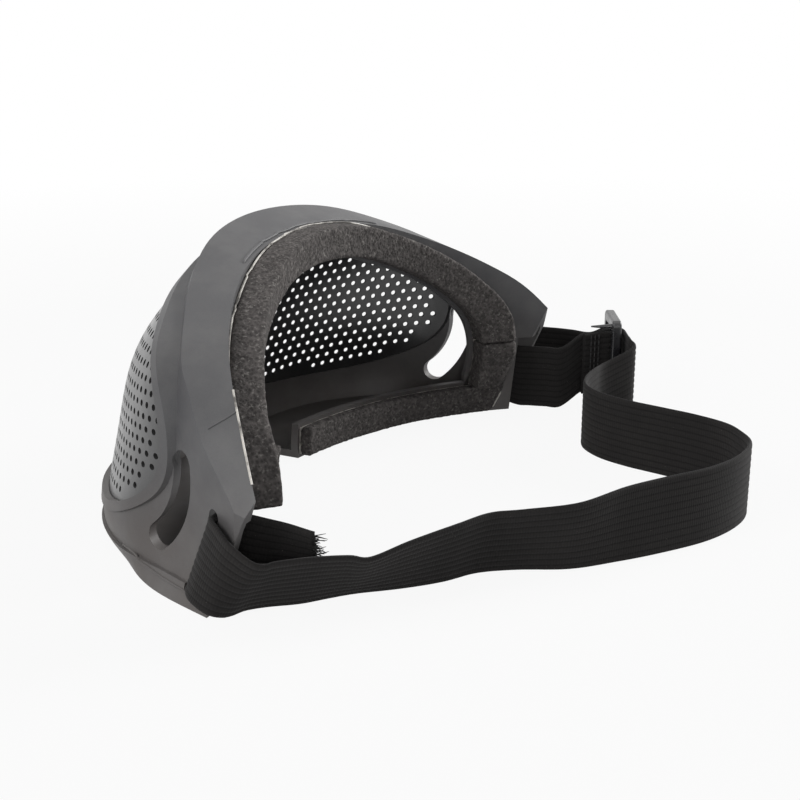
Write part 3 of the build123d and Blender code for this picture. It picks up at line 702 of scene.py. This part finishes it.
def frayTree():
    tree, given, made = startShape("Frayed threads", [
        ("Thread count", "NodeSocketInt", 60), ("Longest", "NodeSocketFloat", 0.003),
        ("Shortest", "NodeSocketFloat", 0.001), ("Thread radius", "NodeSocketFloat", 0.0002),
        ("Spread", "NodeSocketFloat", 0.4), ("Scatter", "NodeSocketFloat", 0.0003),
        ("Direction", "NodeSocketVector", None), ("Seed", "NodeSocketInt", 1)])
    spots = addNode(tree, "GeometryNodeCurveToPoints",
                    {"Curve": lineOf(tree, given), "Count": given["Thread count"]}, mode="COUNT")
    cone = addNode(tree, "GeometryNodeMeshCone",
                   {"Vertices": fray["sides"], "Side Segments": fray["segments"], "Radius Top": fray["tip"],
                    "Radius Bottom": 1.0, "Depth": 1.0})
    aim = tree.nodes.new("ShaderNodeVectorMath")
    tree.links.new(given["Direction"], aim.inputs[0])
    tree.links.new(scatterVector(tree, given, "Spread"), aim.inputs[1])
    turn = addNode(tree, "FunctionNodeAlignRotationToVector", {"Vector": aim.outputs[0]}, axis="Z")
    ends = {"Min": given["Shortest"], "Max": given["Longest"], "Seed": given["Seed"]}
    length = addNode(tree, "FunctionNodeRandomValue", ends, data_type="FLOAT")
    moved = addNode(tree, "GeometryNodeSetPosition",
                    {"Geometry": spots.outputs["Points"], "Offset": scatterVector(tree, given, "Scatter")})
    placed = {"Points": moved.outputs[0], "Instance": cone.outputs["Mesh"], "Rotation": turn.outputs[0],
              "Scale": threadSize(tree, given, liveOut(length))}
    return endShape(tree, given, made, addNode(tree, "GeometryNodeInstanceOnPoints", placed).outputs[0])


def buildFray():
    foot, top, along, _ = ringsMade[0]
    ends = [(foot + (top - foot) * share + along * fray["root"]) * mm + origin for share in fray["across"]]
    values = {"Thread count": fray["count"], "Longest": fray["longest"] * mm,
              "Shortest": fray["shortest"] * mm, "Thread radius": fray["radius"] * mm,
              "Spread": fray["spread"], "Scatter": fray["depth"] * mm, "Direction": tuple(-along),
              "Seed": fray["seed"]}
    return linePiece("tail_fray", ends, frayTree(), values, webbing)


frayPiece = buildFray()
print("frayed end made")

# Foam strips: remeshed from the CAD solid, edges eased, with an open-cell surface
padding = {
    "weld": 0.01, "voxel": 0.55, "ease": 3, "easeShare": 0.5, "pore": 0.16, "poreScale": 900.0,
    "sag": 0.22, "sagScale": 55.0, "faceX": 0.69, "faceY": -0.72, "seat": -50.8, "thick": 8.0,
    "swell": 3.4, "swellTop": 42.0, "swellFall": 16.0, "hang": 4.0, "hangTop": 36.0, "hangFall": 9.0,
}


def easeIn(share):
    share = min(1.0, max(0.0, share))
    return share * share * (3 - 2 * share)


def swellEnd(mesh):
    # The strip's cut end on the wearer's left hangs lower and bulges towards the face, as soft foam does
    face = Vector((padding["faceX"], padding["faceY"], 0)).normalized()
    for vert in mesh.verts:
        spot = (vert.co - origin) / mm
        if spot.x < 0:
            raised = min(1.0, max(0.0, (spot.dot(face) - padding["seat"]) / padding["thick"]))
            bulge = padding["swell"] * easeIn((padding["swellTop"] - spot.z) / padding["swellFall"])
            vert.co += face * (bulge * raised * mm)
            vert.co.z -= padding["hang"] * easeIn((padding["hangTop"] - spot.z) / padding["hangFall"]) * mm


def buildFoam(node):
    mesh = bmesh.new()
    mesh.from_mesh(nodes[node].data)
    bmesh.ops.remove_doubles(mesh, verts=mesh.verts, dist=padding["weld"] * mm)
    piece = makePiece(node.replace("_foam", "_foam_pad"), mesh, foam)
    modifier = piece.modifiers.new("cells", "REMESH")
    modifier.mode = "VOXEL"
    modifier.voxel_size = padding["voxel"] * mm
    settle(piece)
    dress(piece, foam)
    mesh = bmesh.new()
    mesh.from_mesh(piece.data)
    for _ in range(padding["ease"]):
        bmesh.ops.smooth_vert(mesh, verts=mesh.verts, factor=padding["easeShare"],
                              use_axis_x=True, use_axis_y=True, use_axis_z=True)
    if node == "brow_foam":
        swellEnd(mesh)
    mesh.normal_update()
    for vert in mesh.verts:
        pore = noise.noise(vert.co * padding["poreScale"])
        sag = noise.noise(vert.co * padding["sagScale"])
        vert.co += vert.normal * (pore * padding["pore"] + sag * padding["sag"]) * mm
    for face in mesh.faces:
        face.smooth = True
    mesh.to_mesh(piece.data)
    mesh.free()
    return piece


foamPieces = {name: buildFoam(name) for name in sorted(n for n in nodes if n.endswith("_foam"))}
print("foam made", {n: len(p.data.polygons) for n, p in foamPieces.items()})

# Fine lines on the frame: the lip beside the foam, a seam on each side, a ridge on each skirt, and
# the edges of the foam's tape
trim = {
    "lipForward": 1.9, "lipOut": 1.0, "lipRadius": 0.42, "lipProud": 0.12, "lipCentre": 20.0,
    "archSteps": 90, "rayMatch": 0.9992, "leastReach": 1.0, "spacing": 0.8, "steps": 10, "around": 8,
    "seam": [(-77.2, -2.0, 44.8), (-79.3, -0.5, 43.6), (-82.0, 2.3, 41.7)], "seamRadius": 0.24,
    "ridge": [(-73.0, 33.5, 5.2), (-76.0, 29.0, 4.4), (-78.4, 25.2, 3.8), (-81.3, 18.0, 3.2),
              (-83.6, 12.0, 3.0), (-85.6, 7.0, 3.0)], "ridgeRadius": 0.34,
    "tapeOut": 0.45, "tapeBack": -0.35, "tapeRadius": 0.26,
    "peel": [(-73.0, 1.4, 48.2), (-76.8, -1.9, 45.1), (-79.8, -4.7, 41.9), (-82.4, -7.2, 38.5),
             (-84.5, -9.5, 35.0), (-86.0, -11.1, 32.5)], "peelRadius": 0.26,
}
frameMesh = nodes["goggle_frame"].data
skin = BVHTree.FromPolygons([v.co[:] for v in frameMesh.vertices], [p.vertices[:] for p in frameMesh.polygons])


def ontoSkin(points, proud=0.0):
    laid = []
    for point in points:
        spot, normal, _, _ = skin.find_nearest(point)
        laid.append(spot + normal * proud * mm)
    return laid


def archPoints(outward, forward):
    # The outer edge of the brow tape, looked for along rays from the middle of the face
    points = []
    edge = [v.co.copy() for v in nodes["brow_tape"].data.vertices]
    for n in range(trim["archSteps"] + 1):
        turn = math.pi * n / trim["archSteps"]
        ray = Vector((math.cos(turn), math.sin(turn)))
        best, reach = None, 0
        for spot in edge:
            flat = Vector(((spot.x - origin.x) / mm, spot.z / mm - trim["lipCentre"]))
            if flat.length > max(trim["leastReach"], reach) and flat.normalized().dot(ray) > trim["rayMatch"]:
                best, reach = spot, flat.length
        if best is not None:
            points.append(best + Vector((ray.x * outward, forward, ray.y * outward)) * mm)
    return points


def spread(points):
    places = [Vector(p) * mm + origin for p in points]
    steps = [n / trim["steps"] for n in range(trim["steps"])]
    return [a + (b - a) * t for a, b in zip(places[:-1], places[1:]) for t in steps] + places[-1:]


def beadTree():
    tree, given, made = startShape("Bead along a line", [
        ("Bead radius", "NodeSocketFloat", 0.0003), ("Spacing", "NodeSocketFloat", 0.001)])
    even = addNode(tree, "GeometryNodeResampleCurve",
                   {"Curve": lineOf(tree, given), "Length": given["Spacing"]}, mode="LENGTH")
    ring = addNode(tree, "GeometryNodeCurvePrimitiveCircle",
                   {"Resolution": trim["around"], "Radius": given["Bead radius"]})
    swept = {"Curve": even.outputs[0], "Profile Curve": ring.outputs[0], "Fill Caps": True}
    return endShape(tree, given, made, addNode(tree, "GeometryNodeCurveToMesh", swept).outputs[0])


beads = beadTree()


def trimLine(name, points, radius, material):
    values = {"Bead radius": radius * mm, "Spacing": trim["spacing"] * mm}
    return linePiece(name, points, beads, values, material)


lipLine = ontoSkin(archPoints(trim["lipOut"], trim["lipForward"]), trim["lipProud"])
trimPieces = [trimLine("brow_lip", lipLine, trim["lipRadius"], rubber)]
for side, flip in (("left", 1), ("right", -1)):
    for kind in ("seam", "ridge"):
        laid = ontoSkin(spread([(x * flip, y, z) for x, y, z in trim[kind]]))
        trimPieces.append(trimLine(f"{side}_{kind}_line", laid, trim[kind + "Radius"], rubber))
tapeLine, peelLine = archPoints(trim["tapeOut"], trim["tapeBack"]), ontoSkin(spread(trim["peel"]))
tapeEdges = [trimLine("brow_tape_edge", tapeLine, trim["tapeRadius"], tape),
             trimLine("left_tape_peel", peelLine, trim["peelRadius"], tape)]
print("trim lines laid", [len(p.data.vertices) for p in trimPieces + tapeEdges])

# Everything rides on the body of the CAD it belongs to
bandNodes = [n for n in nodes if n.startswith("strap_") and n != "strap_tack"]
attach(bandPiece, "root")
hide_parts(*bandNodes)
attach(frayPiece, "root")
for piece in tackPieces:
    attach(piece, "root")
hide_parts("strap_tack")
for name, piece in foamPieces.items():
    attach(piece, "root")
    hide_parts(name)
for piece in trimPieces:
    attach(piece, "root")
for piece in tapeEdges:
    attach(piece, "root")
print("pieces on their bodies")

# The studio, in metres and watts
studio = {
    "floorHalf": 12.0, "floorDrop": 0.00012, "floorColour": (0.5, 0.5, 0.5, 1), "floorRoughness": 0.9,
    "shadeNear": 0.92, "fade": (0.25, 0.60), "world": 0.14, "worldColour": (0.97, 0.98, 1.0, 1),
    "white": (1, 1, 1, 1), "aim": (0, 0, 0.03),
    "lamps": {"key": ((-0.88, 0.42, 0.62), 0.55, 6.0), "top": ((0.1, 0.2, 1.2), 1.0, 2.6),
              "side": ((0.95, -0.65, 0.55), 0.6, 15.0), "fill": ((-0.48, -0.26, 0.20), 0.2, 0.45)},
}


def seenDirectly(tree):
    # The pale ground shows to these rays alone, and lights nothing
    rays = tree.nodes.new("ShaderNodeLightPath").outputs
    seen = addMath(tree, "MAXIMUM", rays["Is Camera Ray"], rays["Is Glossy Ray"])
    return addMath(tree, "MAXIMUM", seen, rays["Is Transmission Ray"])


def mixInto(tree, sources, target):
    mix = tree.nodes.new("ShaderNodeMixShader")
    for source, socket in zip(sources, mix.inputs):
        tree.links.new(source, socket)
    tree.links.new(mix.outputs[0], target)


def makeFloor():
    half = studio["floorHalf"]
    corners = [(-half, -half, 0), (half, -half, 0), (half, half, 0), (-half, half, 0)]
    data = bpy.data.meshes.new("floor")
    data.from_pydata(corners, [], [(0, 1, 2, 3)])
    floor = addObject("floor", data)
    floor.location.z = -studio["floorDrop"]
    material, tree, coords = startMaterial("pale floor")
    shader = tree.nodes["Principled BSDF"]
    shader.inputs["Base Color"].default_value = studio["floorColour"]
    shader.inputs["Roughness"].default_value = studio["floorRoughness"]
    glow = tree.nodes.new("ShaderNodeEmission")
    reach = addNode(tree, "ShaderNodeVectorMath", {"Vector": coords["Object"]}, operation="LENGTH")
    share = addRange(tree, reach.outputs["Value"], studio["fade"], (studio["shadeNear"], 1.0))
    mixInto(tree, (addMath(tree, "MULTIPLY", seenDirectly(tree), share), shader.outputs[0], glow.outputs[0]),
            tree.nodes["Material Output"].inputs["Surface"])
    data.materials.append(material)


def makeWorld():
    world = bpy.data.worlds.new("studio")
    bpy.context.scene.world = world
    world.use_nodes = True
    tree = world.node_tree
    background = tree.nodes["Background"]
    background.inputs["Strength"].default_value = studio["world"]
    background.inputs["Color"].default_value = studio["worldColour"]
    white = addNode(tree, "ShaderNodeBackground", {"Color": studio["white"], "Strength": 1.0})
    mixInto(tree, (seenDirectly(tree), background.outputs[0], white.outputs[0]),
            tree.nodes["World Output"].inputs["Surface"])


def makeLamp(name, place, size, power):
    data = bpy.data.lights.new(name, "AREA")
    data.size = size
    data.energy = power
    lamp = addObject(name, data)
    lamp.location = place
    lamp.rotation_euler = (Vector(studio["aim"]) - Vector(place)).to_track_quat("-Z", "Y").to_euler()


makeFloor()
makeWorld()
for name, (place, size, power) in studio["lamps"].items():
    makeLamp(name, place, size, power)

# The photograph's camera, placed in the drawing's millimetres and turned in degrees
shot = {"place": (-312.3, -157.5, 137.0), "down": 17.74, "turn": -63.8, "lens": 60.75, "sensor": 36}
lensData = bpy.data.cameras.new("camera")
lensData.lens = shot["lens"]
lensData.sensor_width = shot["sensor"]
camera = addObject("camera", lensData)
camera.location = Vector(shot["place"]) * mm + origin
camera.rotation_euler = (math.radians(90 - shot["down"]), 0, math.radians(shot["turn"]))
bpy.context.scene.camera = camera
bpy.context.scene.view_settings.view_transform = "Standard"
print("studio and camera set")
